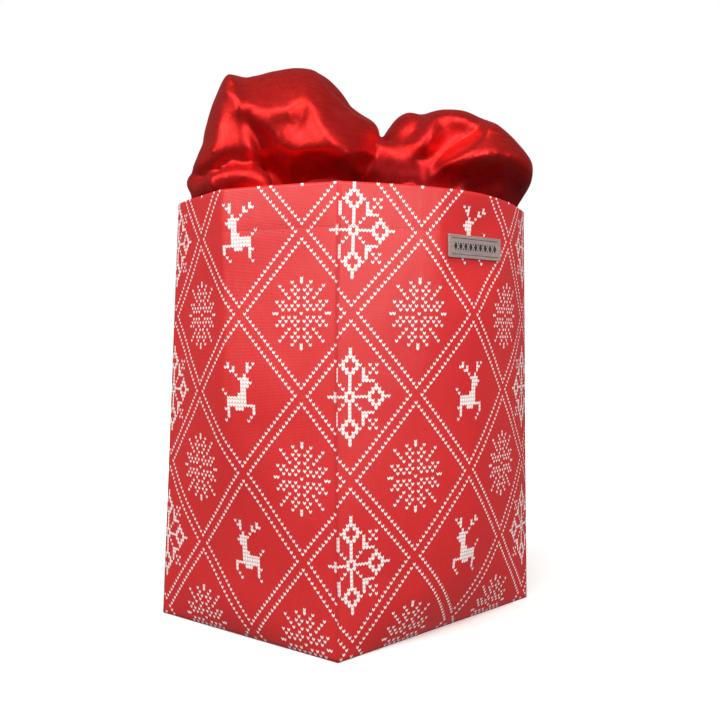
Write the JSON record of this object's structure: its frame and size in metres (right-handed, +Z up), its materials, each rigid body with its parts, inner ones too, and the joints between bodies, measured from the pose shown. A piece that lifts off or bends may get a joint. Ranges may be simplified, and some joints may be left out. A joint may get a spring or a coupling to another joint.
{
  "type": "gift bag",
  "caption": "Free-standing sewn fabric gift bag with creased gussets, a knit-style snowflake and reindeer print, a metal name plate and satin bunched in its mouth.",
  "frame": {"origin": "middle of the base, on the surface it stands on", "axes": "+Z up to the mouth, -Y out of the front panel with the name plate, +X to the right as seen from the front"},
  "size_m": [0.282, 0.2801, 0.465],
  "materials": {
    "knit_print": "matte",
    "lining": "matte",
    "seam_tape": "matte",
    "board": "matte",
    "plate": "satin",
    "backing": "satin",
    "satin": "gloss"
  },
  "bodies": {
    "bag": {"front_panel": "knit_print", "back_panel": "knit_print", "left_gusset": "knit_print", "right_gusset": "knit_print", "base_panel": "knit_print", "base_seam_binding": "seam_tape", "base_board": "board", "mouth_facing": "lining", "name_plate": "plate", "plate_backing": "backing", "seam_binding_front_left": "seam_tape", "seam_binding_front_right": "seam_tape", "seam_binding_rear_right": "seam_tape", "seam_binding_rear_left": "seam_tape"},
    "satin": {"satin_cloth": "satin"}
  },
  "joints": [
    {"name": "satin_lift", "type": "slide", "parent": "bag", "child": "satin", "axis": [0, 0, 1], "range_m": [0, 0.3]}
  ]
}
